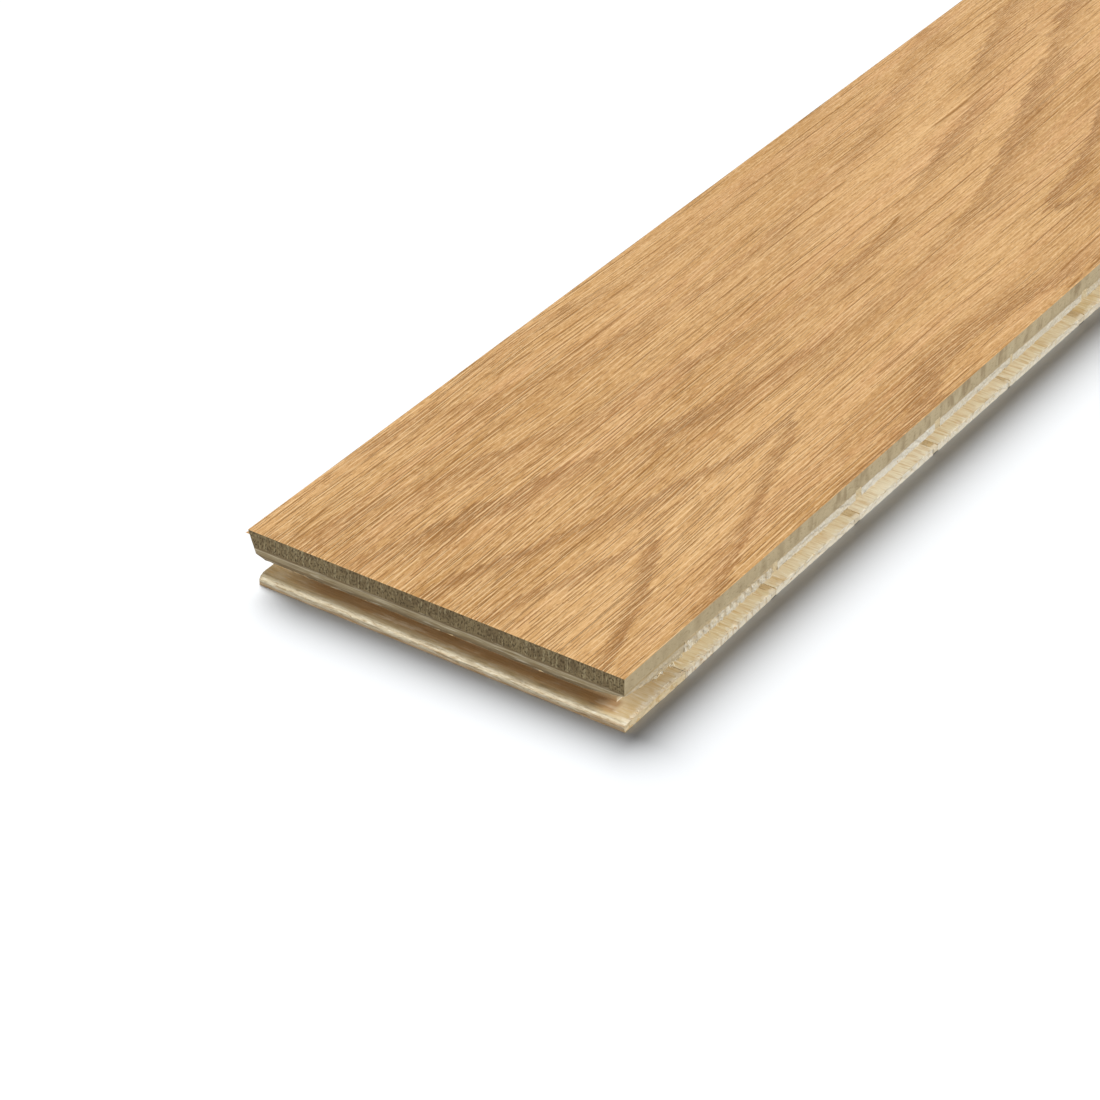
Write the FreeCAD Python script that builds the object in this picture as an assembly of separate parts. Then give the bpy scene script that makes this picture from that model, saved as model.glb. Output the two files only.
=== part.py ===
import FreeCAD, Part
import os

# Wide plank floorboard: an oak wear layer on softwood slats laid across it.
# All sizes in mm. X runs along the board, Y across it, Z up from the underside.

# Board face
face_length = 1220.0
face_width = 148.0
oak_thick = 6.0
slat_thick = 14.0
arris = 0.25

# Cross slats: a short one at each end, and the rest share out the length between
slat_count = 24
first_slat = 34.2
last_slat = 17.6
gap_widths = (0.2, 3.1, 3.7, 3.4, 1.6, 4.2)

# Milled joint, the same cutters along the sides and across the ends
groove_top = 10.2
groove_floor = 2.8
groove_depth = 8.2
joint_clear = 0.3
lean_in = 3.3
foot_in = 2.0
tongue_nose = 1.0
tongue_cut_back = 20.0

# Lower lip standing proud across the grooved end and running out along the side
lip_proud = 0.9
lip_run_out = 56.0

# Lower lip trimmed askew where the grooved end meets the tongued side
trim_in = 2.3
trim_along = 9.0

# Softwood broken out under the oak at the two corners of the grooved end
chip_along = 15.0
chip_across = 16.0
chip_high = 2.8
left_chip_along = 8.0
left_chip_across = 3.1
left_chip_high = 1.0
chip_spill = 1.0

# Sizes that follow from those above
board_thick = oak_thick + slat_thick
slat_pitch = (face_length - first_slat - last_slat) / (slat_count - 2)
tongue_top = groove_top - joint_clear
tongue_bottom = groove_floor + joint_clear
tongue_out = groove_depth - 2 * joint_clear
beyond = tongue_out + lip_proud
centre_x = (face_length + tongue_out - lip_proud) / 2
centre_y = (face_width + tongue_out - lip_proud) / 2


def grooved_edge():
    """Grooved edge from the top down, as (distance in from the face edge, height)."""
    return [
        (arris, board_thick),
        (0.0, board_thick - arris),
        (0.0, groove_top),
        (groove_depth, groove_top),
        (groove_depth, groove_floor),
        (0.0, groove_floor),
        (0.0, 0.0),
    ]


def tongued_edge():
    """Tongued edge from the top down; it leans in so that the oak faces close first."""
    return [
        (arris, board_thick),
        (0.0, board_thick - arris),
        (lean_in, tongue_top),
        (tongue_nose - tongue_out, tongue_top),
        (-tongue_out, tongue_top - tongue_nose),
        (-tongue_out, tongue_bottom + tongue_nose),
        (tongue_nose - tongue_out, tongue_bottom),
        (foot_in, tongue_bottom),
        (foot_in, 0.0),
    ]


def section(span):
    """Closed section of the board between a grooved and a tongued edge."""
    tongued = [(span - inset, height) for inset, height in tongued_edge()]
    return grooved_edge() + tongued[::-1]


def prism(points, sweep):
    """Solid swept from a closed outline."""
    corners = [FreeCAD.Vector(*point) for point in points]
    outline = Part.makePolygon(corners + corners[:1])
    return Part.Face(outline).extrude(FreeCAD.Vector(*sweep))


def box_between(low, high):
    """Box between two opposite corners."""
    size = [b - a for a, b in zip(low, high)]
    return Part.makeBox(size[0], size[1], size[2], FreeCAD.Vector(*low))


def milled_blank():
    """Board with all four edges milled, its tongue cut back from both ends."""
    side = [(-beyond, y, z) for y, z in section(face_width)]
    end = [(x, -beyond, z) for x, z in section(face_length)]
    along = prism(side, (face_length + 2 * beyond, 0, 0))
    across = prism(end, (0, face_width + 2 * beyond, 0))
    blank = along.common(across)
    tongue_root = face_width - lean_in
    near = (-beyond, tongue_cut_back)
    far = (face_length - tongue_cut_back, face_length + beyond)
    for start, stop in (near, far):
        low = (start, tongue_root, 0.0)
        high = (stop, face_width + beyond, tongue_top)
        blank = blank.cut(box_between(low, high))
    return blank


def proud_lip():
    """Lower lip where it stands past the oak, across the end and along the side."""
    inner = groove_depth / 2
    run_end = first_slat + lip_run_out
    left = face_width - foot_in - trim_in
    outline = [
        (-lip_proud, -lip_proud, 0.0),
        (first_slat, -lip_proud, 0.0),
        (run_end, 0.0, 0.0),
        (run_end, inner, 0.0),
        (inner, inner, 0.0),
        (inner, left, 0.0),
        (-lip_proud, left, 0.0),
    ]
    return prism(outline, (0, 0, groove_floor))


def lip_trim():
    """Corner trimmed off the lower lip, at the tongued side of the grooved end."""
    left = face_width - foot_in
    slant = trim_in / trim_along
    outline = [
        (-beyond, left - trim_in - slant * (beyond - lip_proud), 0.0),
        (trim_along - lip_proud, left, 0.0),
        (trim_along - lip_proud, face_width, 0.0),
        (-beyond, face_width, 0.0),
    ]
    return prism(outline, (0, 0, groove_floor))


def corner_chip(corner_y, inward, along, across, high):
    """Pointed chip out of the upper lip, highest at the corner and fading along both edges."""
    outer_y = corner_y - inward * chip_spill
    reach_along = along * (1 + chip_spill / across)
    reach_across = corner_y + inward * across * (1 + chip_spill / along)
    peak = groove_top + high * (1 + chip_spill / along + chip_spill / across)
    corner = FreeCAD.Vector(-chip_spill, outer_y, groove_top)
    points = [
        FreeCAD.Vector(reach_along, outer_y, groove_top),
        FreeCAD.Vector(-chip_spill, reach_across, groove_top),
        FreeCAD.Vector(-chip_spill, outer_y, peak),
    ]
    sides = [points]
    for number in range(3):
        sides.append([corner, points[number], points[(number + 1) % 3]])
    faces = [Part.Face(Part.makePolygon(side + side[:1])) for side in sides]
    return Part.Solid(Part.Shell(faces))


def layer(board, bottom, top):
    """Part of the board between two heights."""
    low = (-beyond, -beyond, bottom)
    high = (face_length + beyond, face_width + beyond, top)
    return board.common(box_between(low, high))


def slat_spans():
    """Start and end of each slat along the board, end tongue included."""
    spans = []
    start = -beyond
    for number in range(slat_count - 1):
        stop = first_slat + number * slat_pitch
        spans.append((start, stop))
        start = stop + gap_widths[number % len(gap_widths)]
    spans.append((start, face_length + beyond))
    return spans


def save(shape, node):
    """Write one piece with the origin under the middle of the board."""
    piece = shape.Solids[0].removeSplitter()
    piece.translate(FreeCAD.Vector(-centre_x, -centre_y, 0))
    piece.exportStep("parts/" + node + ".step")
    print(node, len(shape.Solids), round(piece.Volume), piece.isValid())


os.makedirs("parts", exist_ok=True)

board = milled_blank().fuse(proud_lip()).cut(lip_trim())
save(layer(board, slat_thick, board_thick), "oak_wear_layer")

core = layer(board, 0.0, slat_thick)
core = core.cut(corner_chip(0.0, 1, chip_along, chip_across, chip_high))
left_edge = face_width - lean_in
core = core.cut(corner_chip(left_edge, -1, left_chip_along, left_chip_across, left_chip_high))
for number, (start, stop) in enumerate(slat_spans(), 1):
    low = (start, -beyond, 0.0)
    high = (stop, face_width + beyond, slat_thick)
    save(core.common(box_between(low, high)), "core_slat_%02d" % number)
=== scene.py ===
import math

import bmesh
import bpy
import numpy as np
from mathutils import Matrix, Vector


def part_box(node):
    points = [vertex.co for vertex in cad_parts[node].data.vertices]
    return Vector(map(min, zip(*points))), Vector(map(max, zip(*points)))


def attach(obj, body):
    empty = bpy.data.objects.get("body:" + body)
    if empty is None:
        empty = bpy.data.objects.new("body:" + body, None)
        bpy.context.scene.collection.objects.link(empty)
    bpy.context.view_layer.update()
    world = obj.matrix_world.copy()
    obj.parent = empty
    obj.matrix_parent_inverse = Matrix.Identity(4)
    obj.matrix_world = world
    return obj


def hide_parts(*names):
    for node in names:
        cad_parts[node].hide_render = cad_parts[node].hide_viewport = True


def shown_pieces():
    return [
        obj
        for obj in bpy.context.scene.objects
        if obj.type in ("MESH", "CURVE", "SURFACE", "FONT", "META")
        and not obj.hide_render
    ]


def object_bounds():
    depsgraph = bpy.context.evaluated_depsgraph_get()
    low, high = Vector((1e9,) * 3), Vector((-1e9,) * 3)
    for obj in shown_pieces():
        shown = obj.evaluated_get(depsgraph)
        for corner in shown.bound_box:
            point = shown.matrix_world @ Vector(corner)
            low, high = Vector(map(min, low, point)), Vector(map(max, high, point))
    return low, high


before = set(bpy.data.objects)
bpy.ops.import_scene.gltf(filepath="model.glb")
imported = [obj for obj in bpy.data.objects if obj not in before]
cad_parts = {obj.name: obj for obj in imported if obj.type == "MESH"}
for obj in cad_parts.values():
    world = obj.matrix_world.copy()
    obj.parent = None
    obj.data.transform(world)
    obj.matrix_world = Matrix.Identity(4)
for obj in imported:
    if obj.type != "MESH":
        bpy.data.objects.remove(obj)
cad_low, cad_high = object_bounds()

# Shapes and patterns are worked out in mm from the corner of the oak face where both grooves meet:
# x along the board, y across it and z up from the underside
MM = 0.001
OAK_NODE = "oak_wear_layer"
SLAT_NODES = sorted(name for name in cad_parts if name.startswith("core_slat_"))
oak_low, oak_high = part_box(OAK_NODE)
CORNER = np.array([oak_low.x, oak_low.y, 0.0])
LENGTH = (oak_high.x - oak_low.x) / MM
WIDTH = (oak_high.y - oak_low.y) / MM
OAK_BOTTOM = oak_low.z / MM
GROOVE_TOP = 10.2
GROOVE_FLOOR = 2.8
GROOVE_DEPTH = 8.2
ON_FACE = 0.03

# Places along the board between which a finish comes in or goes out
NEAR_LINES = (300.0, 60.0)
SIDE_FIGURE = (50.0, 140.0)
SPOTS = (150.0, 10.0)
END_TEAR = (9.0, 2.0)
END_LIP = (1.6, 0.4)
END_FRONT = (-0.2, -0.6)
FIBRE_DARKER = (0.6, 0.2)

# The same across the board, from the grooved side
FLOOR_SHADE = (0.8, 6.0)
FLOOR_RIM = (1.7, 0.4)
DUST_RIM = (2.2, 1.0)

# The same up the board
PATCH_RISE = (0.6, 1.8)
FOOT_FALL = (2.7, 1.5)
FLOOR_RISE = (2.2, 2.5)
LIP_FALL = (3.4, 3.0)
BAND_RISE = (4.0, 8.0)
GLUE_RISE = (12.75, 12.95)
GLUE_FALL = (13.35, 13.15)
OAK_STAIN_RISE = (12.9, 13.5)

# Colours on the first slat: how much duller its upper part and its lip are, partly painted shade on the
# near end's strip, and where painted shade and shadow darken its groove floor
DULL_LEAST = 0.68
DULL_MORE = 0.32
DULL_FALL = (12.2, 10.8)
DULL_RISE = (13.1, 13.6)
DULL_LIP = 0.5
DULL_LIP_DEPTH = 0.5
# Painted shadow and shade on the near groove's floor: brown from the upper lip's shadow edge, 5 to 7 mm in
# from the grooved side, to near the other side, fading in from the front and out up the back wall; a
# fainter shade covers the rest further in
SHADE_MOST = 0.8
SHADE_X_RISE = (0.2, 4.8)
SHADE_X_FALL = (12.0, 8.0)
SHADE_Y_RISE = (5.4, 7.2)
SHADE_Y_FALL = (150.0, 120.0)
SHADE_Z_RISE = (2.0, 2.5)
SHADE_Z_FALL = (6.0, 3.0)
FAINT_SHADE = 0.3
FAINT_SHADE_RISE = (0.5, 3.0)

# Oak mesh: spacing of its points along the board as (start, step), points across it, rows down its sides
OAK_ALONG = ((0.0, 2.0), (60.0, 3.0), (520.0, 6.0), (LENGTH, 0.0))
OAK_ACROSS = 240
OAK_SIDE_ROWS = 7
SAME_LEVEL = 0.006
FACE_KIND = 0
SIDE_KIND = 1
END_KIND = 2

# Growth rings on the oak face: the log's heart lies under it, nearer or deeper along the board
HEART_Y = 37.0
HEART_DEPTH = 99.0
HEART_SWING = 7.0
SWING_LENGTH = 750.0
SWING_START = 62.0
OAK_RING_START = 99.6
OAK_RINGS = (-8.2, -4.1, 0.0, 4.1, 9.6, 13.8, 19.4, 24.0, 29.0)
RINGS_BEFORE = 2
LEFT_POINT = 0.93
LEFT_FLARE = 4.0
RIGHT_POINT = 1.25
RIGHT_FLARE = 17.8
STRONG_RINGS = 6.0
RING_REACH = 12.0
LEAST_SLOPE = 0.012

# Brushed relief of the oak face
BRUSHED = 0.06
BRUSHED_FIBRES = 0.035
BRUSHED_RINGS = 0.04
BRUSHED_MOST = 0.2

# Splinter: three points rooted in the oak, and its tip
SPLINTER = ((0.35, 147.3, 19.5), (1.3, 147.2, 18.9), (0.35, 146.9, 17.8), (-0.6, 148.7, 18.7))

# Slats, counted from 0 at the near end: how many show well, and the one whose rings stand out
SEEN_SLATS = 9
RINGED_SLAT = 1
SLAT_PALENESS = (0.0, 0.1, 0.35, 0.75, 0.45, 0.35)
RINGED_WIDTH = 4.1
RINGED_LEAN = 0.1
RINGED_HEART = -40.0
RINGED_LATE = 0.45
PLAIN_LATE = 0.15

# Cuts that divide a slat: spacing along the board, places across it and places up it
CUT_FIRST = 0.45
CUT_LAST = 0.1
SEEN_CUT = 0.6
UNSEEN_CUT = 1.2
GROOVE_CUTS = [0.5, 1.3, 2.4, 3.8, 5.5, 7.2]
INNER_CUT_FIRST = 10.0
INNER_CUT_LAST = 1.0
END_SLAT_CUT = 1.0
SLAT_CUT = 12.0
HEIGHT_CUTS = [0.5, 1.0, 1.5, 2.0, 2.45, 5.0, 7.5, 10.7, 11.2, 11.8, 12.4, 13.0, 13.6]
WELD = 0.001
ON_CUT = 0.0001
FLAT = math.radians(1.0)
FACING = 0.7
TORN_KIND = 1
SAWN_KIND = 2

# Torn and milled softwood: how far its surfaces depart from the solids
RINGED_TUFT = 0.45
PLAIN_TUFT = (0.02, 0.06)
SIDE_HANG = 0.28
SIDE_LIP_WEAR = 0.14
SIDE_LIP_MOST = 0.7
FLOOR_WEAR = 0.06
STRIP_GRAIN = 0.05
STRIP_HANG = 0.25
END_LIP_NOSE = 1.2
END_LIP_WEAR = 0.14
END_LIP_MOST = 0.5
NICK_FROM = 0.6
NICK_DEPTH = 0.35

# Fillings of the gaps between slats, with the crack left open beside them
LEAST_GAP = 0.5
GLUE_BEADS = {"front": 0.05, "back": WIDTH - 4.4, "bottom": GROOVE_TOP, "top": OAK_BOTTOM, "crack": 0.0}
GAP_FILLINGS = {"front": 0.12, "back": 12.0, "bottom": 0.2, "top": 2.75, "crack": 0.2}
BEAD_CUTS = 7
BEAD_LUMP = 0.15
BEAD_HANG = 0.12
BEAD_SLUMP = 0.4

# Torn fibres: how many to each mm of a slat, how many across the end, and where they grow longer
SEEN_FIBRES = 1.6
UNSEEN_FIBRES = 0.5
STRIP_FIBRES = 9
END_LIP_FIBRES = 20
PAST_CHIP = 16.0
LONG_FIBRES = (110.0, 30.0)
FIBRE_THICK = (0.09, 0.16)
FIBRE_MARGIN = 0.02

# Floor and surroundings, in metres
FLOOR_REACH = 30.0
FLOOR_DROP = 0.05 * MM
FLOOR_SEEN = (0.72, 0.735, 0.75, 1.0)
FLOOR_BOUNCE = (0.2, 0.2, 0.2, 1.0)
WHITE = (1.0, 1.0, 1.0, 1.0)
WORLD_STRENGTH = 0.18

# Lamps: direction, strength and spread in degrees
RIGHT_LIGHT = ((0.05, 0.75, -0.66), 2.75, 13.0)
FRONT_LIGHT = ((0.74, -0.42, -0.53), 1.9, 45.0)
FLOOR_LIGHT = ((-0.88, -1.25, -1.6), 5.6, 49.0)

# Camera: place and direction, nearest distance in metres, lens and sensor in mm
CAMERA_PLACE = (-1.44564, -0.62085, 0.74008)
CAMERA_FORWARD = (0.683, 0.469, -0.5601)
CAMERA_LENS = 129.5
CAMERA_SENSOR = 36.0
CAMERA_NEAREST = 0.05

# Sockets that a Mix node uses for colours
MIX_A = 6
MIX_B = 7
MIX_RESULT = 2


def fade(value, low, high):
    """Smooth step from 0 at low to 1 at high."""
    t = np.clip((value - low) / (high - low), 0.0, 1.0)
    return t * t * (3 - 2 * t)


def noise(u, v, seed):
    """Smooth noise from -1 to 1, with one bump to each unit of u and v."""
    size = 256
    table = np.random.RandomState(seed).uniform(-1.0, 1.0, (size, size))
    iu = np.floor(u).astype(int)
    iv = np.floor(v).astype(int)
    fu = fade(u - iu, 0.0, 1.0)
    fv = fade(v - iv, 0.0, 1.0)

    def at(du, dv):
        return table[(iu + du) % size, (iv + dv) % size]

    near = at(0, 0) * (1 - fu) + at(1, 0) * fu
    far = at(0, 1) * (1 - fu) + at(1, 1) * fu
    return near * (1 - fv) + far * fv


def to_frame(points):
    """Points in mm from the board's corner, as metres in the shared frame."""
    return points * MM + CORNER


def to_board(points):
    """Points in metres in the shared frame, as mm from the board's corner."""
    return (points - CORNER) / MM


def box_of(node):
    """Lowest and highest corner of a node in mm."""
    low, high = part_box(node)
    return to_board(np.array(low)), to_board(np.array(high))


def mesh_from(name, points, faces):
    """Mesh in the shared frame from points in mm."""
    mesh = bpy.data.meshes.new(name)
    mesh.from_pydata(to_frame(points).tolist(), [], faces)
    mesh.update()
    return mesh


def add_values(mesh, name, values):
    """Store one number for each vertex, for the materials to read."""
    attribute = mesh.attributes.new(name, "FLOAT", "POINT")
    attribute.data.foreach_set("value", np.asarray(values, np.float32))


def add_piece(name, mesh, materials, node=None):
    """Show a mesh as a piece of the board, in place of a node where one is named."""
    piece = bpy.data.objects.new(name, mesh)
    bpy.context.scene.collection.objects.link(piece)
    for material in materials:
        mesh.materials.append(material)
    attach(piece, "root")
    if node:
        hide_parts(node)


def srgb(red, green, blue):
    """Linear colour from 0 to 255 screen values."""
    linear = []
    for value in (red, green, blue):
        share = value / 255
        linear.append(share / 12.92 if share <= 0.04045 else ((share + 0.055) / 1.055) ** 2.4)
    return (*linear, 1.0)


class Finish:
    """A procedural material, with short calls to build its nodes. Sizes are in mm on the board."""

    def __init__(self, name):
        self.material = bpy.data.materials.new(name)
        self.material.use_nodes = True
        self.tree = self.material.node_tree
        self.shader = self.tree.nodes["Principled BSDF"]
        origin = self.node("ShaderNodeTexCoord").outputs["Object"]
        shifted = self.vector("SUBTRACT", origin, tuple(CORNER))
        self.place = self.vector("DIVIDE", shifted, (MM, MM, MM))
        self.x, self.y, self.z = self.split(self.place)

    def node(self, kind, **settings):
        """A new node with its settings."""
        made = self.tree.nodes.new(kind)
        for name, value in settings.items():
            setattr(made, name, value)
        return made

    def feed(self, socket, value):
        """Link a socket to another one, or set it to a constant."""
        if isinstance(value, bpy.types.NodeSocket):
            self.tree.links.new(value, socket)
        else:
            socket.default_value = value

    def vector(self, operation, a, b):
        """Sum, difference or the like of two vectors."""
        made = self.node("ShaderNodeVectorMath", operation=operation)
        self.feed(made.inputs[0], a)
        self.feed(made.inputs[1], b)
        return made.outputs[0]

    def split(self, vector):
        """The three parts of a vector."""
        made = self.node("ShaderNodeSeparateXYZ")
        self.feed(made.inputs[0], vector)
        return tuple(made.outputs)

    def join(self, *parts):
        """Vector from its three parts."""
        made = self.node("ShaderNodeCombineXYZ")
        for socket, part in zip(made.inputs, parts):
            self.feed(socket, part)
        return made.outputs[0]

    def math(self, operation, a, b=0.0):
        """Sum, difference or the like of two numbers."""
        made = self.node("ShaderNodeMath", operation=operation)
        self.feed(made.inputs[0], a)
        self.feed(made.inputs[1], b)
        return made.outputs[0]

    def times(self, *factors):
        """Product of two or more numbers."""
        product = factors[0]
        for factor in factors[1:]:
            product = self.math("MULTIPLY", product, factor)
        return product

    def swing(self, value, reach):
        """A number from 0 to 1, as a swing to both sides of 0."""
        return self.times(self.math("SUBTRACT", value, 0.5), reach)

    def off_middle(self, value):
        """How far a number from 0 to 1 lies from its middle."""
        return self.math("ABSOLUTE", self.math("SUBTRACT", value, 0.5))

    def step(self, value, low, high, start=0.0, end=1.0):
        """Smooth step of a value between two limits."""
        made = self.node("ShaderNodeMapRange", interpolation_type="SMOOTHSTEP")
        for socket, given in zip(made.inputs, (value, low, high, start, end)):
            self.feed(socket, given)
        return made.outputs[0]

    def band(self, value, rise, fall):
        """1 where a value lies between two smooth steps, one up and one down."""
        return self.times(self.step(value, *rise), self.step(value, *fall))

    def mix(self, share, a, b):
        """Colour a where the share is 0, and b where it is 1."""
        made = self.node("ShaderNodeMix", data_type="RGBA")
        self.feed(made.inputs[0], share)
        self.feed(made.inputs[MIX_A], a)
        self.feed(made.inputs[MIX_B], b)
        return made.outputs[MIX_RESULT]

    def tones(self, share, a, b):
        """Two screen colours mixed."""
        return self.mix(share, srgb(*a), srgb(*b))

    def lay(self, base, mask, share, colour):
        """A base with a screen colour laid over it by a share, where the mask is 1."""
        return self.mix(self.times(mask, share), base, srgb(*colour))

    def grain(self, size, detail=2.0, place=None, roughness=0.5):
        """Noise from 0 to 1 whose bumps have the given size along x, y and z."""
        scaled = self.vector("DIVIDE", place or self.place, size)
        made = self.node("ShaderNodeTexNoise", noise_dimensions="3D")
        self.feed(made.inputs["Vector"], scaled)
        made.inputs["Scale"].default_value = 1.0
        made.inputs["Detail"].default_value = detail
        made.inputs["Roughness"].default_value = roughness
        return made.outputs["Fac"]

    def ridge(self, size, width):
        """Thin lines, from 0 to 1, that wander through noise of the given size."""
        return self.step(self.off_middle(self.grain(size, detail=1.0)), width, 0.0)

    def hairlines(self, place, seed, spacing, width, length, share):
        """Thin lines along the board, from 0 to 1: unevenly spaced, of one width, broken at random."""
        moved = self.vector("ADD", place, (seed * 517.0, seed * 211.0, 0.0))
        wander = self.times(self.grain((240.0, 14.0, 30.0), place=moved), 5.0)
        x, y, _ = self.split(place)
        count = self.math("ADD", self.math("DIVIDE", y, spacing), wander)
        line = self.step(self.off_middle(self.math("FRACT", count)), width / spacing / 2, 0.0)
        far_apart = self.times(self.math("FLOOR", count), 7.3)
        spot = self.join(self.math("DIVIDE", x, length), far_apart, seed * 3.7)
        chance = self.grain((1.0, 1.0, 1.0), place=spot)
        return self.times(line, self.step(chance, 0.62 - share, 0.72 - share))

    def value(self, name):
        """A number stored on the mesh."""
        return self.node("ShaderNodeAttribute", attribute_name=name).outputs["Fac"]

    def bend(self, size, reach):
        """Places on the board, moved a little by wide noise so that straight grain wavers."""
        wave = self.grain(size, detail=1.0)
        return self.vector("ADD", self.place, self.join(*(self.swing(wave, most) for most in reach)))

    def surface(self, colour, roughness, height, depth):
        """Finish with a colour, a roughness and a bump whose depth is given in mm."""
        bump = self.node("ShaderNodeBump")
        bump.inputs["Strength"].default_value = 1.0
        bump.inputs["Distance"].default_value = depth * MM
        self.feed(bump.inputs["Height"], height)
        self.feed(self.shader.inputs["Base Color"], colour)
        self.feed(self.shader.inputs["Roughness"], roughness)
        self.feed(self.shader.inputs["Normal"], bump.outputs[0])
        self.shader.inputs["Specular IOR Level"].default_value = 0.25
        return self.material


def oak_face():
    """Brushed oak: golden and pink streaks, ring figure, open pores and raised fibres along the length,
    with pale lines that are partly painted highlights.
    """
    f = Finish("oak_face")
    along = f.bend((170.0, 50.0, 40.0), (0.0, 7.0, 0.0))
    broad = f.grain((260.0, 30.0, 50.0), place=along)
    blush = f.grain((120.0, 8.0, 50.0), place=f.vector("ADD", along, (900.0, 300.0, 0.0)))
    streak = f.grain((210.0, 4.2, 20.0), detail=3.0, place=along)
    hair = f.grain((34.0, 0.42, 8.0), detail=4.0, place=along, roughness=0.7)
    speck = f.grain((2.6, 0.5, 6.0), detail=3.0, place=along, roughness=0.7)
    near = f.step(f.x, *NEAR_LINES, start=0.55)
    long_line = f.hairlines(along, 1.0, spacing=2.9, width=0.62, length=44.0, share=0.14)
    line = f.hairlines(along, 2.0, spacing=1.2, width=0.56, length=13.0, share=0.18)
    pale_and_highlight_line = f.hairlines(along, 3.0, spacing=1.6, width=0.68, length=20.0, share=0.2)
    pale_and_highlight_line = f.times(pale_and_highlight_line, near)
    ring_pore = f.hairlines(along, 4.0, spacing=0.9, width=0.5, length=6.0, share=0.24)
    ragged = f.swing(f.grain((13.0, 1.5, 9.0), detail=3.0, place=along), 9.0)
    past_ring = f.math("ADD", f.value("past_ring"), ragged)
    figure = f.times(f.band(past_ring, (-8.5, 0.3), (1.6, 0.3)), f.value("figure"))
    lines = f.math("MAXIMUM", long_line, f.times(line, near, 0.85))
    lines = f.math("MAXIMUM", lines, f.times(ring_pore, f.step(figure, 0.1, 0.7, end=0.7)))
    base = f.tones(f.step(broad, 0.32, 0.68), (189, 142, 84), (216, 170, 113))
    base = f.lay(base, f.step(blush, 0.45, 0.72), 0.5, (214, 163, 113))
    base = f.lay(base, f.step(streak, 0.5, 0.75), 0.4, (232, 188, 130))
    base = f.lay(base, f.step(streak, 0.48, 0.25), 0.4, (182, 133, 78))
    base = f.lay(base, figure, 0.7, (162, 114, 66))
    base = f.lay(base, f.step(hair, 0.5, 0.74), 0.5, (164, 115, 56))
    base = f.lay(base, f.step(hair, 0.5, 0.28), 0.5, (244, 206, 156))
    base = f.lay(base, f.step(speck, 0.5, 0.74), 0.65, (162, 113, 54))
    base = f.lay(base, f.step(speck, 0.5, 0.28), 0.6, (242, 204, 152))
    # Pale lines along the grain, partly painted highlights of the brushed relief
    base = f.lay(base, pale_and_highlight_line, 0.7, (248, 212, 160))
    base = f.lay(base, lines, 0.78, (142, 96, 44))
    height = f.math("SUBTRACT", f.times(pale_and_highlight_line, 0.3), f.times(lines, 0.7))
    height = f.math("SUBTRACT", height, f.times(hair, 0.5))
    return f.surface(base, roughness=f.step(lines, 0.0, 1.0, 0.5, 0.75), height=height, depth=0.25)


def oak_side():
    """Planed oak edge: taupe, with darker blocks between the pale rays that cross it."""
    f = Finish("oak_side")
    cloud = f.grain((16.0, 14.0, 5.0), detail=3.0)
    fleck = f.grain((1.8, 5.0, 0.8), detail=3.0)
    figured = f.step(f.x, *SIDE_FIGURE, start=0.4)
    block = f.times(f.step(f.grain((5.0, 20.0, 13.0)), 0.44, 0.68), figured)
    ray = f.times(f.ridge((14.0, 9.0, 60.0), width=0.03), figured)
    base = f.tones(f.step(cloud, 0.3, 0.7), (171, 154, 121), (184, 167, 133))
    base = f.lay(base, figured, 0.5, (202, 185, 150))
    base = f.lay(base, block, 0.65, (138, 117, 86))
    base = f.lay(base, ray, 0.5, (200, 186, 152))
    base = f.lay(base, f.step(fleck, 0.52, 0.75), 0.55, (134, 112, 80))
    height = f.math("SUBTRACT", f.times(ray, 0.3), fleck)
    return f.surface(base, roughness=0.7, height=height, depth=0.12)


def oak_end():
    """Sawn oak end grain: dark, with pale rays from top to bottom between rows of open pores."""
    f = Finish("oak_end")
    cloud = f.grain((20.0, 9.0, 5.0))
    zone = f.step(f.grain((30.0, 22.0, 40.0), detail=1.0), 0.42, 0.58)
    bar = f.times(f.step(f.grain((8.0, 1.3, 16.0)), 0.48, 0.64), zone)
    ray = f.math("MAXIMUM", f.step(f.grain((8.0, 0.8, 4.0), detail=3.0), 0.54, 0.7), bar)
    pore = f.grain((6.0, 0.65, 1.1), detail=3.0)
    base = f.tones(f.step(cloud, 0.3, 0.7), (118, 101, 72), (140, 123, 89))
    base = f.lay(base, ray, 0.75, (170, 155, 119))
    base = f.lay(base, f.step(pore, 0.47, 0.66), 0.8, (74, 60, 38))
    height = f.math("SUBTRACT", f.times(ray, 0.5), f.step(pore, 0.45, 0.7))
    return f.surface(base, roughness=0.8, height=height, depth=0.2)


def paint_floor(f, base):
    """Colour of the groove's floor: painted shade, tan further in, with a patchy pale rim."""
    floor = f.band(f.z, FLOOR_RISE, LIP_FALL)
    # Painted shade: tan further into the groove, where less light reaches
    deep = f.times(floor, f.step(f.y, *FLOOR_SHADE))
    patch = f.swing(f.grain((1.6, 2.6, 3.0), detail=3.0), 6.0)
    rim = f.times(floor, f.step(f.math("ADD", f.y, patch), *FLOOR_RIM))
    base = f.lay(base, deep, 0.2, (196, 164, 108))
    return f.lay(base, rim, 0.5, (244, 238, 220))


def paint_end_lip(f, base):
    """Colour of the lip across the near end: greyer, with flecks along the grain."""
    lip = f.times(f.step(f.x, *END_LIP), f.step(f.z, *LIP_FALL))
    fleck = f.grain((0.9, 2.6, 0.35), detail=3.0)
    share = f.times(lip, 0.6)
    base = f.lay(base, lip, 0.7, (206, 196, 172))
    base = f.lay(base, f.step(fleck, 0.52, 0.7), share, (150, 122, 80))
    return f.lay(base, f.step(fleck, 0.46, 0.3), share, (240, 234, 216))


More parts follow.
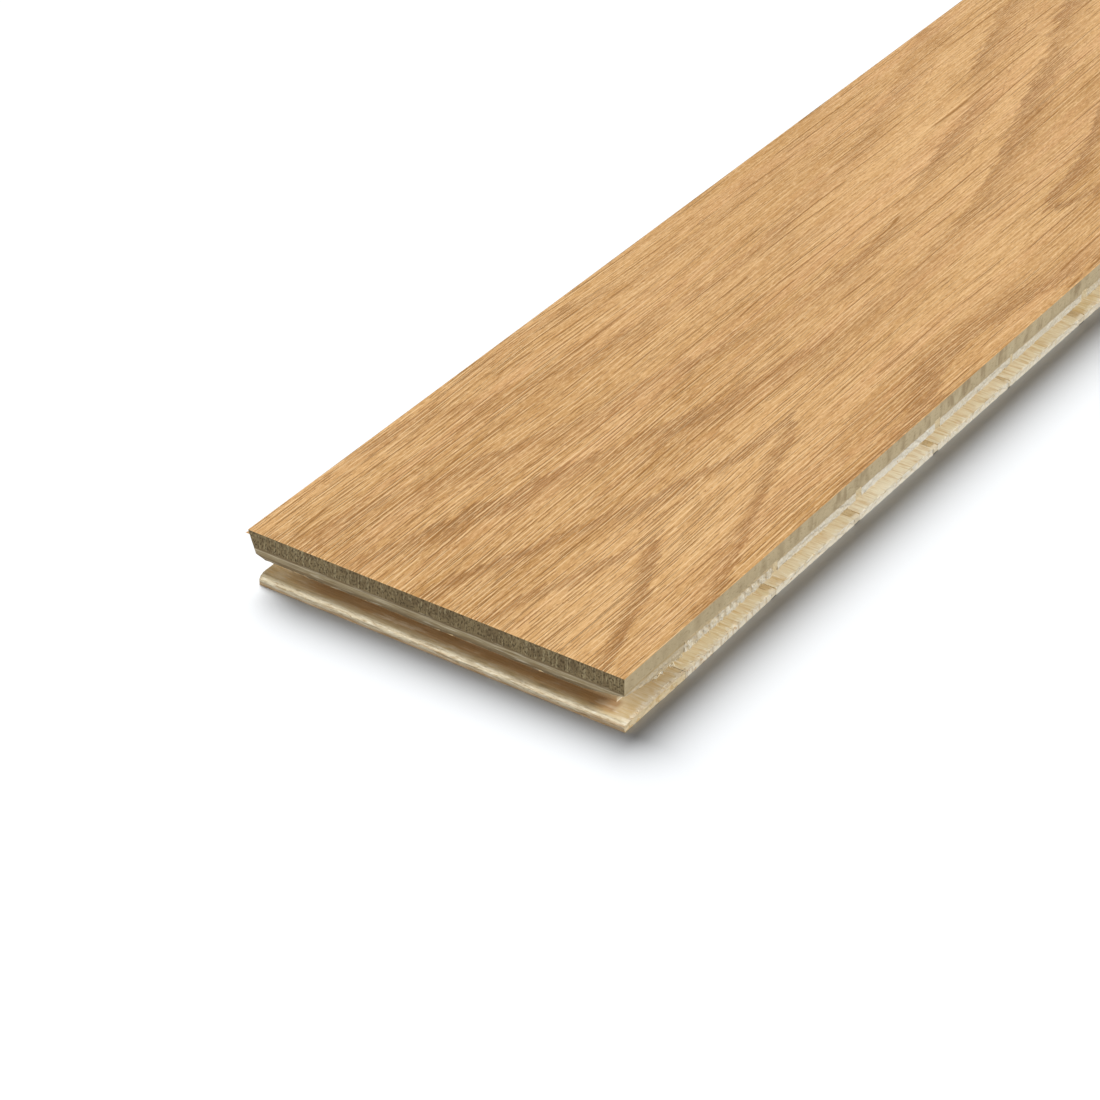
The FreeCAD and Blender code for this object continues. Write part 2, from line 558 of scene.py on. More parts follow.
def paint_end_foot(f, base):
    """Colour of the near end's front: browner towards the bottom, with brown lines above."""
    front = f.step(f.x, *END_FRONT)
    height = f.math("ADD", f.z, f.times(f.grain((9.0, 26.0, 9.0), detail=3.0), 2.4))
    foot = f.times(front, f.step(height, *FOOT_FALL))
    line = f.times(front, f.ridge((9.0, 34.0, 2.2), width=0.035))
    brown_marks = f.math("MAXIMUM", foot, f.times(line, 0.8))
    return f.lay(base, brown_marks, 0.65, (162, 122, 74))


def softwood_long():
    """Softwood along the grain: cream, with tan late wood, a pale glue line under the oak, and painted
    shade on the near end's strip and on the near groove's floor.
    """
    f = Finish("softwood_long")
    waver = f.swing(f.grain((2.0, 9.0, 2.0), detail=3.0), 0.6)
    ring = f.math("FRACT", f.math("ADD", f.value("ring"), waver))
    late = f.band(ring, (0.3, 0.85), (1.0, 0.88))
    late = f.times(late, f.step(f.grain((4.0, 5.0, 4.0)), 0.35, 0.65))
    streak = f.grain((0.7, 7.0, 0.7), detail=3.0)
    cloud = f.grain((14.0, 8.0, 14.0))
    torn = f.grain((3.0, 9.0, 0.6), detail=3.0)
    worn = f.step(f.x, *END_TEAR)
    base = f.tones(f.step(cloud, 0.3, 0.7), (222, 203, 158), (234, 219, 182))
    base = f.lay(base, f.value("pale"), 1.0, (246, 238, 214))
    base = paint_floor(f, base)
    base = f.lay(base, late, 0.45, (204, 166, 104))
    base = f.lay(base, f.step(streak, 0.5, 0.72), 0.6, (204, 172, 114))
    base = f.lay(base, f.step(streak, 0.44, 0.26), 0.7, (246, 238, 214))
    # Painted shadow and shade on the near groove's floor, brown
    base = f.lay(base, f.value("groove_shade"), 1.0, (150, 108, 62))
    base = paint_end_lip(f, base)
    # Duller first slat; on the near end's strip this is painted shade, darker under the oak and towards
    # the groove
    base = f.lay(base, f.value("dull_and_shade"), f.step(f.z, *BAND_RISE), (124, 107, 79))
    base = f.lay(base, f.step(torn, 0.5, 0.72), f.times(worn, 0.45), (118, 94, 60))
    base = f.lay(base, f.step(torn, 0.46, 0.28), f.times(worn, 0.4), (240, 230, 204))
    base = paint_end_foot(f, base)
    base = f.lay(base, f.band(f.z, GLUE_RISE, GLUE_FALL), 0.3, (216, 204, 176))
    height = f.math("SUBTRACT", f.times(late, 0.3), f.times(streak, 0.8))
    height = f.math("SUBTRACT", height, f.times(torn, worn, 1.2))
    return f.surface(base, roughness=0.75, height=height, depth=0.2)


def softwood_end():
    """Softwood end grain, torn by the cutter: whitish fuzz with brown late wood between."""
    f = Finish("softwood_end")
    ring = f.math("FRACT", f.value("ring"))
    late = f.band(ring, (0.6, 0.92), (1.0, 0.95))
    fuzz = f.grain((0.6, 0.7, 0.9), detail=3.0)
    cloud = f.grain((9.0, 9.0, 2.4))
    patch = f.step(f.grain((2.4, 4.0, 1.7), detail=3.0), 0.5, 0.62)
    patch = f.times(patch, f.step(f.z, *PATCH_RISE))
    spot = f.math("ADD", f.grain((2.2, 2.0, 1.4)), f.times(f.value("spotty"), 0.12))
    lip = f.step(f.z, *LIP_FALL)
    dull_and_shade = f.value("dull_and_shade")
    base = f.tones(f.step(cloud, 0.3, 0.7), (220, 208, 182), (208, 192, 160))
    base = f.lay(base, f.value("pale"), 1.0, (238, 232, 216))
    base = f.lay(base, lip, 0.55, (252, 242, 218))
    base = f.lay(base, f.step(fuzz, 0.45, 0.7), 0.7, (240, 236, 224))
    base = f.lay(base, late, f.value("tufted"), (180, 150, 104))
    base = f.lay(base, patch, f.step(f.z, *LIP_FALL, start=0.2, end=0.6), (222, 200, 154))
    base = f.lay(base, f.step(spot, 0.66, 0.74), 0.6, (188, 146, 90))
    base = f.lay(base, f.step(f.z, *OAK_STAIN_RISE), 0.9, (182, 162, 126))
    base = f.lay(base, dull_and_shade, f.step(f.z, *BAND_RISE, end=0.6), (172, 150, 110))
    base = f.lay(base, dull_and_shade, lip, (212, 182, 122))
    height = f.math("SUBTRACT", fuzz, f.times(late, 0.2))
    return f.surface(base, roughness=0.9, height=height, depth=0.4)


def softwood_sawn():
    """Sawn sides of the slats, tanned and streaked along the grain."""
    f = Finish("softwood_sawn")
    streak = f.grain((3.0, 9.0, 0.8), detail=3.0)
    cloud = f.grain((12.0, 8.0, 5.0))
    base = f.tones(f.step(cloud, 0.3, 0.7), (226, 202, 154), (234, 212, 168))
    base = f.lay(base, f.step(streak, 0.5, 0.75), 0.5, (204, 168, 112))
    return f.surface(base, roughness=0.8, height=streak, depth=0.2)


def gap_dust():
    """Glue and saw dust packed into the gaps between slats, brown and streaked."""
    f = Finish("gap_dust")
    cloud = f.grain((2.4, 4.0, 2.0), detail=3.0)
    fuzz = f.grain((0.4, 1.6, 0.4), detail=3.0)
    base = f.tones(f.step(cloud, 0.35, 0.65), (198, 172, 126), (212, 190, 148))
    base = f.lay(base, f.step(fuzz, 0.5, 0.7), 0.5, (176, 146, 100))
    base = f.lay(base, f.step(f.y, *DUST_RIM), 0.8, (234, 224, 200))
    return f.surface(base, roughness=0.85, height=fuzz, depth=0.3)


def dried_glue():
    """Glue squeezed up between the slats, tan and dusty."""
    f = Finish("dried_glue")
    cloud = f.grain((2.0, 2.0, 1.4), detail=3.0)
    fuzz = f.grain((0.5, 0.6, 0.5), detail=3.0)
    base = f.tones(f.step(cloud, 0.35, 0.65), (214, 190, 146), (222, 204, 166))
    base = f.lay(base, f.step(fuzz, 0.5, 0.7), 0.5, (232, 220, 192))
    return f.surface(base, roughness=0.8, height=fuzz, depth=0.3)


def torn_fibre():
    """Loose softwood fibres, white to tan."""
    f = Finish("torn_fibre")
    cloud = f.grain((1.6, 1.6, 1.2))
    fine = f.grain((0.3, 0.3, 0.3))
    base = f.tones(f.step(cloud, 0.35, 0.6), (238, 232, 214), (222, 204, 164))
    base = f.lay(base, f.step(cloud, 0.62, 0.7), 0.7, (196, 152, 92))
    # Fibres at the near end are darker
    base = f.lay(base, f.step(f.x, *FIBRE_DARKER), 0.8, (186, 162, 120))
    return f.surface(base, roughness=0.9, height=fine, depth=0.1)


def graded(stops):
    """Places along a line from (start, step) pairs, each step used up to the next start."""
    places = []
    for (start, step), (stop, _) in zip(stops, stops[1:]):
        count = max(1, round((stop - start) / step))
        places.extend(np.linspace(start, stop, count + 1)[:-1])
    return np.array(places + [stops[-1][0]])


def oak_ring(x, y):
    """Growth ring count on the oak face."""
    depth = HEART_DEPTH + HEART_SWING * np.sin(2 * math.pi * (x - SWING_START) / SWING_LENGTH)
    across = y - HEART_Y + 2.2 * noise(x / 60, y / 40, 11) + 1.5 * noise(x / 22, y / 10, 12)
    left = np.abs(across) ** LEFT_POINT / LEFT_FLARE
    right = np.abs(across) ** RIGHT_POINT / RIGHT_FLARE
    flare = np.where(across > 0, left, right)
    ring = np.interp(depth + flare - OAK_RING_START, OAK_RINGS, np.arange(len(OAK_RINGS)))
    return ring - RINGS_BEFORE + 0.1 * noise(x / 200, y / 14, 13)


def oak_figure(x, y):
    """Distance in mm past the nearest ring on the oak face, and how strongly that ring shows there."""
    ring = oak_ring(x, y)
    along = oak_ring(x + 0.5, y) - oak_ring(x - 0.5, y)
    across = oak_ring(x, y + 0.5) - oak_ring(x, y - 0.5)
    nearest = np.round(ring)
    past = (ring - nearest) / np.maximum(np.hypot(along, across), LEAST_SLOPE)
    past = past / (1.0 + 0.7 * fade(nearest, 1.0, 2.0))
    strength = 0.45 + 0.55 * fade(nearest, STRONG_RINGS, 0.0)
    strength = strength * (0.88 + 0.12 * fade(y, HEART_Y + 6.0, HEART_Y - 2.0))
    strength = strength * (0.85 + 0.5 * noise(x / 45, y / 12, 14))
    strength = strength * fade(np.abs(past), RING_REACH, 0.7 * RING_REACH)
    return np.clip(past, -RING_REACH, RING_REACH), np.clip(strength, 0.0, 1.0)


def oak_relief(x, y, past, strength):
    """Depth in mm that brushing took off the face: soft early wood is worn deepest."""
    early = strength * np.exp(-(past / 2.5) ** 2)
    fibres = noise(x / 55, y / 2.1, 21) + 0.6 * noise(x / 30, y / 1.1, 22)
    return np.clip(BRUSHED + BRUSHED_FIBRES * fibres + BRUSHED_RINGS * early, 0.0, BRUSHED_MOST)


def oak_levels():
    """Outline of the oak at each height: (z, x from, x to, y from, y to), from the top down."""
    points = np.array([vertex.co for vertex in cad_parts[OAK_NODE].data.vertices])
    points = to_board(points)
    levels = []
    for z in sorted(set(np.round(points[:, 2], 2)), reverse=True):
        ring = points[np.abs(points[:, 2] - z) < SAME_LEVEL]
        x0, y0 = ring[:, :2].min(0)
        x1, y1 = ring[:, :2].max(0)
        levels.append((z, x0, x1, y0, y1))
    return levels


def oak_rows():
    """Levels of the oak from the top down, with its sides divided evenly."""
    levels = oak_levels()
    arris, bottom = levels[-2:]
    rows = [levels[0], arris]
    for share in np.linspace(0.0, 1.0, OAK_SIDE_ROWS + 1)[1:]:
        rows.append(tuple(a + (b - a) * share for a, b in zip(arris, bottom)))
    return rows


def level_grid(level, along, across):
    """x and y of a grid of points over one level of the oak."""
    _, x0, x1, y0, y1 = level
    return np.meshgrid(x0 + along * (x1 - x0), y0 + across * (y1 - y0), indexing="ij")


def rim_of(grid):
    """Values around the edge of a grid, from its first corner and along the board first."""
    return np.concatenate([grid[:-1, 0], grid[-1, :-1], grid[:0:-1, -1], grid[0, :0:-1]])


def grid_faces(numbers):
    """Faces between the points of a grid."""
    corners = (numbers[:-1, :-1], numbers[1:, :-1], numbers[1:, 1:], numbers[:-1, 1:])
    return list(zip(*(corner.ravel() for corner in corners)))


def underside_faces(around, nx, ny):
    """Strips across the oak's underside; the first and the last take in all the points of an end."""
    right = around[:nx]
    far = around[nx - 1:nx + ny - 1]
    left = around[nx + ny - 2:2 * nx + ny - 2][::-1]
    near = np.append(around[2 * nx + ny - 3:], around[0])[::-1]
    faces = [(*near, left[1], right[1])]
    for i in range(1, nx - 2):
        faces.append((right[i], left[i], left[i + 1], right[i + 1]))
    faces.append((right[-2], left[-2], *far[::-1]))
    return faces


def build_oak():
    """The oak layer: a finely divided face with brushed relief, and sides down to the glue line."""
    along = graded(OAK_ALONG) / LENGTH
    across = np.linspace(0.0, 1.0, OAK_ACROSS)
    top, *lower = oak_rows()
    x, y = level_grid(top, along, across)
    face_z = top[0] - oak_relief(x, y, *oak_figure(x, y))
    points = [np.stack([x.ravel(), y.ravel(), face_z.ravel()], 1)]
    nx, ny = x.shape
    numbers = np.arange(nx * ny).reshape(nx, ny)
    around = rim_of(numbers)
    faces = grid_faces(numbers)
    kinds = [FACE_KIND] * (len(faces) + len(around))
    for level in lower:
        x, y = level_grid(level, along, across)
        below = np.arange(len(around)) + sum(len(part) for part in points)
        points.append(np.stack([rim_of(x), rim_of(y), np.full(len(around), level[0])], 1))
        faces.extend(zip(around, below, np.roll(below, -1), np.roll(around, -1)))
        around = below
    kinds += ([SIDE_KIND] * (nx - 1) + [END_KIND] * (ny - 1)) * 2 * OAK_SIDE_ROWS
    faces += underside_faces(around, nx, ny)
    kinds += [SIDE_KIND] * (nx - 1)
    points = np.concatenate(points)
    mesh = mesh_from("oak", points, [tuple(int(v) for v in face) for face in faces])
    mesh.polygons.foreach_set("material_index", np.array(kinds, np.int32))
    past, strength = oak_figure(points[:, 0], points[:, 1])
    add_values(mesh, "past_ring", past)
    add_values(mesh, "figure", strength)
    add_piece("oak_layer", mesh, [oak_face(), oak_side(), oak_end()], OAK_NODE)


def build_splinter():
    """A small splinter torn out of the oak's corner, where the grooved end meets the tongued side."""
    points = np.array(SPLINTER)
    mesh = mesh_from("oak_splinter", points, [(2, 1, 0), (0, 1, 3), (1, 2, 3), (2, 0, 3)])
    add_piece("oak_splinter", mesh, [bpy.data.materials["oak_face"]])


def slat_rings(number, points):
    """Growth ring count in one slat, whose grain runs across the board."""
    draw = np.random.RandomState(100 + number)
    width = draw.uniform(2.4, 4.6)
    lean = draw.uniform(0.2, 1.3)
    heart = draw.uniform(10.0, 44.0)
    deep = draw.uniform(25.0, 70.0)
    if number == RINGED_SLAT:
        width = RINGED_WIDTH
        lean = RINGED_LEAN
        heart = RINGED_HEART
    x = points[:, 0] - points[:, 0].min() - heart
    x = x + 0.7 * noise(points[:, 1] / 26, points[:, 0] / 30, 200 + number)
    z = points[:, 2] + deep * lean
    ring = np.hypot(x, z) / width
    return ring + 0.3 * noise(ring * 0.8, ring * 0.0, 230 + number)


def round_nose(points):
    """Points of the first slat, with the sharp upper edge of its end lip rounded over."""
    moved = points.copy()
    x, _, z = points.T
    edge = x.min()
    back = (x - edge) / END_LIP_NOSE
    down = (GROOVE_FLOOR - z) / END_LIP_NOSE
    on_top = (np.abs(z - GROOVE_FLOOR) < ON_FACE) & (back < 1.0)
    in_front = (x - edge < ON_FACE) & (down < 1.0)
    angle = math.pi / 4 * np.where(on_top, 1.0 - back, 1.0 + down)
    nose = on_top | in_front
    moved[nose, 0] = edge + END_LIP_NOSE * (1.0 - np.sin(angle[nose]))
    moved[nose, 2] = GROOVE_FLOOR - END_LIP_NOSE * (1.0 - np.cos(angle[nose]))
    return moved


def tear_side(points, moved, ring, tuft):
    """Move points of the grooved side: end grain torn in tufts, a worn lip and a rippled groove floor."""
    x, y, z = points.T
    slant = 0.2 * (z - GROOVE_TOP) + 0.3 * noise(x / 2.2, z / 1.5, 30)
    bulge = np.sin(math.pi * np.mod(ring + slant, 1.0)) ** 0.6
    ragged = noise(x / 1.5, z / 1.2, 31)
    fine = noise(x / 0.75, z / 0.7, 32)
    ripple = noise(x / 1.1, y / 9.0, 33)
    band = (z > GROOVE_TOP - ON_FACE) & (np.abs(y) < ON_FACE)
    inner = fade(z, OAK_BOTTOM, OAK_BOTTOM - 0.6)
    push = tuft * (bulge - 0.45) + 0.13 * ragged + 0.1 * fine
    moved[band, 1] -= (push * inner)[band]
    band_edge = band & (z < GROOVE_TOP + ON_FACE)
    hang = np.clip(bulge * tuft * 4 + ragged + 0.6 * fine, 0.0, 2.2)
    moved[band_edge, 2] -= (SIDE_HANG * hang)[band_edge]
    lip = (z < GROOVE_FLOOR + ON_FACE) & (y < ON_FACE)
    worn = SIDE_LIP_WEAR + 0.4 * tuft * (0.5 - bulge) + 0.11 * ragged + 0.09 * fine
    worn = worn * (0.35 + 0.65 * fade(z, 0.2, 1.4))
    moved[lip, 1] += np.clip(worn, 0.0, SIDE_LIP_MOST)[lip]
    lip_edge = lip & (z > GROOVE_FLOOR - ON_FACE)
    droop = np.clip(0.3 + ragged + 0.7 * fine, 0.0, 1.4)
    moved[lip_edge, 2] -= (SIDE_HANG * droop)[lip_edge]
    floor = (np.abs(z - GROOVE_FLOOR) < ON_FACE) & ~lip_edge
    moved[floor, 2] -= (FLOOR_WEAR + 0.05 * ripple + 0.03 * bulge)[floor]


def wear_end(points, moved):
    """Move points of the grooved end: long grain raised under the oak, and a split and nicked lip."""
    x, y, z = points.T
    strip = (z > GROOVE_TOP - ON_FACE) & (np.abs(x) < ON_FACE)
    long_grain = noise(y / 11, z / 0.8, 34) + 0.5 * noise(y / 5, z / 0.45, 35)
    moved[strip, 0] += (STRIP_GRAIN * long_grain)[strip]
    strip_edge = strip & (z < GROOVE_TOP + ON_FACE)
    hang = np.clip(noise(y / 1.6, y / 40, 36) + 0.2, 0.0, 1.0)
    moved[strip_edge, 2] -= (STRIP_HANG * hang)[strip_edge]
    lip = (z < GROOVE_FLOOR + ON_FACE) & (x < ON_FACE)
    split = END_LIP_WEAR + 0.08 * noise(y / 26, z / 0.9, 37) + 0.05 * noise(y / 6, z / 0.6, 38)
    moved[lip, 0] += np.clip(split, 0.0, END_LIP_MOST)[lip]
    lip_edge = lip & (z > GROOVE_FLOOR - NICK_FROM)
    nicks = np.clip(noise(y / 7, y / 50, 39) + 0.6 * noise(y / 2.4, y / 40, 40), 0.0, 1.2)
    moved[lip_edge, 2] -= (NICK_DEPTH * nicks)[lip_edge]


def roughen(points, ring, number):
    """Torn and milled surfaces of a slat, as new points."""
    moved = round_nose(points) if number == 0 else points.copy()
    draw = np.random.RandomState(300 + number)
    tuft = draw.uniform(*PLAIN_TUFT)
    if number == RINGED_SLAT:
        tuft = RINGED_TUFT
    tear_side(points, moved, ring, tuft)
    wear_end(points, moved)
    moved[:, 2] = np.maximum(moved[:, 2], 0.0)
    return moved


def slat_tones_and_shade(number, points):
    """How much of each tone and each painted shade lies on the points of one slat."""
    x, y, z = points.T
    first = number == 0
    # The first slat's duller tone, which on the near end's strip is also painted shade, darker under the
    # oak and towards the groove
    above = DULL_LEAST + DULL_MORE * (fade(z, *DULL_FALL) + fade(z, *DULL_RISE))
    dull_and_shade = np.where(z > GROOVE_TOP - ON_FACE, above, DULL_LIP * (y < DULL_LIP_DEPTH))
    # Painted shadow and shade on the near groove's floor
    deep = fade(x, *SHADE_X_RISE) * fade(x, *SHADE_X_FALL) * fade(y, *SHADE_Y_RISE) * fade(y, *SHADE_Y_FALL)
    groove_shade = np.maximum(SHADE_MOST * deep, FAINT_SHADE * fade(x, *FAINT_SHADE_RISE))
    groove_shade = groove_shade * fade(z, *SHADE_Z_RISE) * fade(z, *SHADE_Z_FALL)
    return {
        "dull_and_shade": dull_and_shade * first,
        "groove_shade": groove_shade * first,
        "spotty": fade(x, *SPOTS) * (z < GROOVE_FLOOR + 0.1),
        "pale": np.full(len(x), SLAT_PALENESS[number % len(SLAT_PALENESS)]),
        "tufted": np.full(len(x), RINGED_LATE if number == RINGED_SLAT else PLAIN_LATE),
    }


def cut_across(bm, axis, places):
    """Cut every face along planes set across one axis."""
    normal = Vector((0.0, 0.0, 0.0))
    normal[axis] = 1.0
    for place in places:
        point = Vector((0.0, 0.0, 0.0))
        point[axis] = place * MM + CORNER[axis]
        parts = bm.verts[:] + bm.edges[:] + bm.faces[:]
        bmesh.ops.bisect_plane(bm, geom=parts, dist=ON_CUT * MM, plane_co=point, plane_no=normal)


def divided_slat(number, node):
    """Mesh of a slat, cut up finely, with the numbers of its finishes."""
    bm = bmesh.new()
    bm.from_mesh(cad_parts[node].data)
    bmesh.ops.remove_doubles(bm, verts=bm.verts[:], dist=WELD * MM)
    bmesh.ops.dissolve_limit(bm, angle_limit=FLAT, verts=bm.verts[:], edges=bm.edges[:])
    low, high = box_of(node)
    along = SEEN_CUT if number < SEEN_SLATS else UNSEEN_CUT
    across = END_SLAT_CUT if number == 0 else SLAT_CUT
    inner_cuts = np.arange(INNER_CUT_FIRST, high[1] - INNER_CUT_LAST, across)
    cut_across(bm, 0, np.arange(low[0] + CUT_FIRST, high[0] - CUT_LAST, along))
    cut_across(bm, 1, GROOVE_CUTS + list(inner_cuts))
    cut_across(bm, 2, HEIGHT_CUTS)
    for face in bm.faces:
        inside = face.calc_center_median().x > CORNER[0] + GROOVE_DEPTH * MM
        if abs(face.normal.y) > FACING:
            face.material_index = TORN_KIND
        elif abs(face.normal.x) > FACING and inside:
            face.material_index = SAWN_KIND
    mesh = bpy.data.meshes.new(node)
    bm.to_mesh(mesh)
    bm.free()
    return mesh


def build_slat(number, node, finishes):
    """One slat of the core, with its torn and milled surfaces, its rings, its tones and its painted shade.
    """
    mesh = divided_slat(number, node)
    points = np.empty(len(mesh.vertices) * 3)
    mesh.vertices.foreach_get("co", points)
    points = to_board(points.reshape(-1, 3))
    ring = slat_rings(number, points)
    mesh.vertices.foreach_set("co", to_frame(roughen(points, ring, number)).ravel())
    mesh.update()
    add_values(mesh, "ring", ring)
    for name, values in slat_tones_and_shade(number, points).items():
        add_values(mesh, name, values)
    add_piece(node + "_milled", mesh, finishes, node)


def build_core():
    """All the slats, in the order they lie along the board."""
    finishes = [softwood_long(), softwood_end(), softwood_sawn()]
    for number, node in enumerate(SLAT_NODES):
        build_slat(number, node, finishes)


def lumpy_bead(low, high, number, open_above):
    """One bead between two corners in mm, rough in front and below or above: points and faces."""
    bm = bmesh.new()
    bmesh.ops.create_cube(bm, size=1.0)
    bmesh.ops.subdivide_edges(bm, edges=bm.edges[:], cuts=BEAD_CUTS, use_grid_fill=True)
    bm.verts.index_update()
    share = np.array([vert.co for vert in bm.verts]) + 0.5
    faces = [[vert.index for vert in face.verts] for face in bm.faces]
    bm.free()
    points = low + share * (high - low)
    lump = noise(points[:, 0] / 1.1, points[:, 1] / 2.5 + points[:, 2], 400 + number)
    front = fade(share[:, 1], 0.2, 0.0)
    points[:, 1] += BEAD_LUMP * lump * front
    if open_above:
        points[:, 2] -= (BEAD_LUMP * (lump + 1.0) + BEAD_SLUMP * front) * share[:, 2]
    else:
        points[:, 2] += BEAD_HANG * (lump + 1.0) * (1.0 - share[:, 2])
    return points, faces


def fill_gaps(name, material, open_above, front, back, bottom, top, crack):
    """A bead in each of the wider gaps between slats, as one piece."""
    boxes = [box_of(node) for node in SLAT_NODES]
    points = []
    faces = []
    total = 0
    for number, (before, after) in enumerate(zip(boxes, boxes[1:])):
        start = before[1][0]
        stop = after[0][0]
        if stop - start < LEAST_GAP:
            continue
        low = np.array([start + crack, front, bottom])
        high = np.array([stop, back, top])
        bead, bead_faces = lumpy_bead(low, high, number, open_above)
        points.append(bead)
        faces.extend([index + total for index in face] for face in bead_faces)
        total += len(bead)
    add_piece(name, mesh_from(name, np.concatenate(points), faces), [material])


def build_glue():
    """Dried glue at the top of the gaps, and glue and dust packed in them behind the lower lip."""
    fill_gaps("glue_beads", dried_glue(), open_above=False, **GLUE_BEADS)
    fill_gaps("gap_fillings", gap_dust(), open_above=True, **GAP_FILLINGS)


def fibre_roots():
    """Where torn fibres stand along the milled edges, and how far they reach, in mm."""
    draw = np.random.RandomState(500)
    places = []
    directions = []
    for number, node in enumerate(SLAT_NODES):
        low, high = box_of(node)
        count = int((high[0] - low[0]) * (SEEN_FIBRES if number < SEEN_SLATS else UNSEEN_FIBRES))
        x = draw.uniform(max(low[0], PAST_CHIP), min(high[0], LENGTH - 1.0), count)
        places += [(value, draw.uniform(0.0, 0.3), GROOVE_TOP + 0.1) for value in x]
        for _ in x:
            directions.append((draw.normal(0, 0.5), draw.normal(-0.1, 0.2), -draw.uniform(0.3, 1.0)))
        x = draw.uniform(max(low[0], 1.0), high[0], count)
        places += [(value, draw.uniform(0.3, 0.7), GROOVE_FLOOR - 0.2) for value in x]
        for _ in x:
            directions.append((draw.normal(0, 0.3), -draw.uniform(0.2, 0.6), draw.normal(0.1, 0.15)))
    for y in draw.uniform(20.0, WIDTH - 14.0, STRIP_FIBRES):
        places.append((0.1, y, GROOVE_TOP + 0.05))
        side = draw.choice([-1.0, 1.0])
        directions.append((draw.normal(-0.05, 0.05), side * 1.2, draw.normal(-0.2, 0.1)))
    for y in draw.uniform(6.0, WIDTH - 14.0, END_LIP_FIBRES):
        places.append((-0.6, y, GROOVE_FLOOR - 0.9))
        side = draw.choice([-1.0, 1.0])
        directions.append((draw.normal(0.0, 0.05), side * 1.2, draw.normal(0.0, 0.08)))
    places = np.array(places)
    longer = 1.0 + fade(places[:, :1], *LONG_FIBRES)
    return places, np.array(directions) * draw.uniform(0.5, 1.4, (len(places), 1)) * longer


def build_fibres():
    """Torn softwood fibres, each a thin three-sided spike from a milled edge."""
    places, directions = fibre_roots()
    draw = np.random.RandomState(501)
    reach = np.linalg.norm(directions, axis=1, keepdims=True)
    ahead = directions / reach
    side = np.cross(ahead, draw.normal(0, 1, ahead.shape))
    side = side / np.linalg.norm(side, axis=1, keepdims=True)
    other = np.cross(ahead, side)
    thick = draw.uniform(*FIBRE_THICK, reach.shape) * (1.0 + fade(places[:, :1], *LONG_FIBRES))
    corners = []
    for turn in range(3):
        angle = turn * 2 * math.pi / 3
        corners.append(places + thick * (math.cos(angle) * side + math.sin(angle) * other))
    points = np.stack(corners + [places + directions], 1).reshape(-1, 3)
    points = np.maximum(points, to_board(np.array(cad_low)) + FIBRE_MARGIN)
    faces = []
    for first in range(0, len(points), 4):
        faces.append((first + 2, first + 1, first))
        for turn in range(3):
            faces.append((first + turn, first + (turn + 1) % 3, first + 3))
    add_piece("torn_fibres", mesh_from("torn_fibres", points, faces), [torn_fibre()])


def collect(name, objects):
    """A collection that a lamp can be limited to."""
    group = bpy.data.collections.new(name)
    for item in objects:
        group.objects.link(item)
    return group


def add_sun(name, towards, strength, spread, group):
    """Soft lamp far away, lighting one group of objects along a direction."""
    lamp = bpy.data.lights.new(name, "SUN")
    lamp.energy = strength
    lamp.angle = math.radians(spread)
    item = bpy.data.objects.new(name, lamp)
    item.rotation_euler = Vector(towards).to_track_quat("-Z", "Y").to_euler()
    bpy.context.scene.collection.objects.link(item)
    item.light_linking.receiver_collection = group


def seen_ray(tree):
    """1 for what the camera sees directly, in a reflection or through glass, and 0 for bounced light."""
    path = tree.nodes.new("ShaderNodeLightPath")
    seen = path.outputs["Is Camera Ray"]
    for name in ("Is Glossy Ray", "Is Transmission Ray"):
        joined = tree.nodes.new("ShaderNodeMath")
        joined.operation = "MAXIMUM"
        tree.links.new(seen, joined.inputs[0])
        tree.links.new(path.outputs[name], joined.inputs[1])
        seen = joined.outputs[0]
    return seen


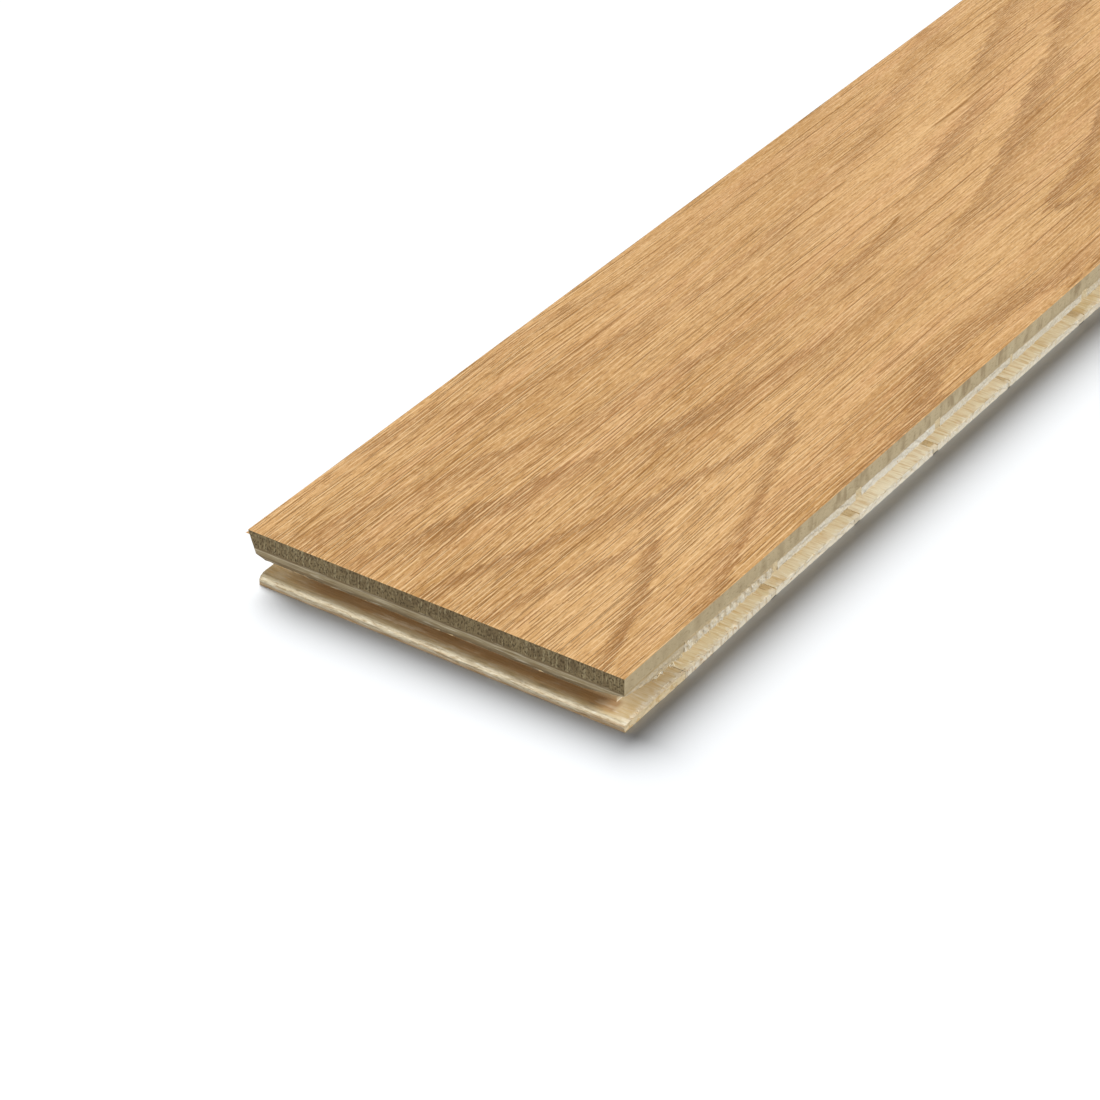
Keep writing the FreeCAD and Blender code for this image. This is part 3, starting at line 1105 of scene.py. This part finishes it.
def white_floor():
    """Matt white that throws little light back on the board."""
    material = bpy.data.materials.new("white_floor")
    material.use_nodes = True
    tree = material.node_tree
    shader = tree.nodes["Principled BSDF"]
    colour = tree.nodes.new("ShaderNodeMix")
    colour.data_type = "RGBA"
    colour.inputs[MIX_A].default_value = FLOOR_BOUNCE
    colour.inputs[MIX_B].default_value = FLOOR_SEEN
    tree.links.new(seen_ray(tree), colour.inputs[0])
    tree.links.new(colour.outputs[MIX_RESULT], shader.inputs["Base Color"])
    shader.inputs["Roughness"].default_value = 1.0
    shader.inputs["Specular IOR Level"].default_value = 0.0
    return material


def build_floor():
    """Studio floor, a hair below the board."""
    mesh = bpy.data.meshes.new("studio_floor")
    corners = []
    for x, y in ((-1, -1), (1, -1), (1, 1), (-1, 1)):
        corners.append((x * FLOOR_REACH, y * FLOOR_REACH, -FLOOR_DROP))
    mesh.from_pydata(corners, [], [(0, 1, 2, 3)])
    mesh.materials.append(white_floor())
    floor = bpy.data.objects.new("studio_floor", mesh)
    bpy.context.scene.collection.objects.link(floor)
    return floor


def build_world():
    """Even white surroundings, which show as white where the camera sees them."""
    world = bpy.data.worlds.new("studio")
    bpy.context.scene.world = world
    world.use_nodes = True
    tree = world.node_tree
    background = tree.nodes["Background"]
    background.inputs["Color"].default_value = WHITE
    level = tree.nodes.new("ShaderNodeMapRange")
    tree.links.new(seen_ray(tree), level.inputs["Value"])
    level.inputs["To Min"].default_value = WORLD_STRENGTH
    level.inputs["To Max"].default_value = 1.0
    tree.links.new(level.outputs[0], background.inputs["Strength"])


def build_camera():
    """Camera at the photograph's place, in the shared frame."""
    camera = bpy.data.cameras.new("camera")
    camera.lens = CAMERA_LENS
    camera.sensor_width = CAMERA_SENSOR
    camera.clip_start = CAMERA_NEAREST
    item = bpy.data.objects.new("camera", camera)
    forward = Vector(CAMERA_FORWARD).normalized()
    right = forward.cross(Vector((0.0, 0.0, 1.0))).normalized()
    up = right.cross(forward)
    item.matrix_world = Matrix((right, up, -forward)).transposed().to_4x4()
    item.location = CAMERA_PLACE
    bpy.context.scene.collection.objects.link(item)
    bpy.context.scene.camera = item


build_oak()
build_splinter()
build_core()
build_glue()
build_fibres()
pieces = collect("board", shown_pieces())
floor = build_floor()
ground = collect("ground", [floor])
add_sun("right_light", *RIGHT_LIGHT, pieces)
add_sun("front_light", *FRONT_LIGHT, pieces)
add_sun("floor_light", *FLOOR_LIGHT, ground)
build_world()
build_camera()
bpy.context.scene.view_settings.view_transform = "Standard"
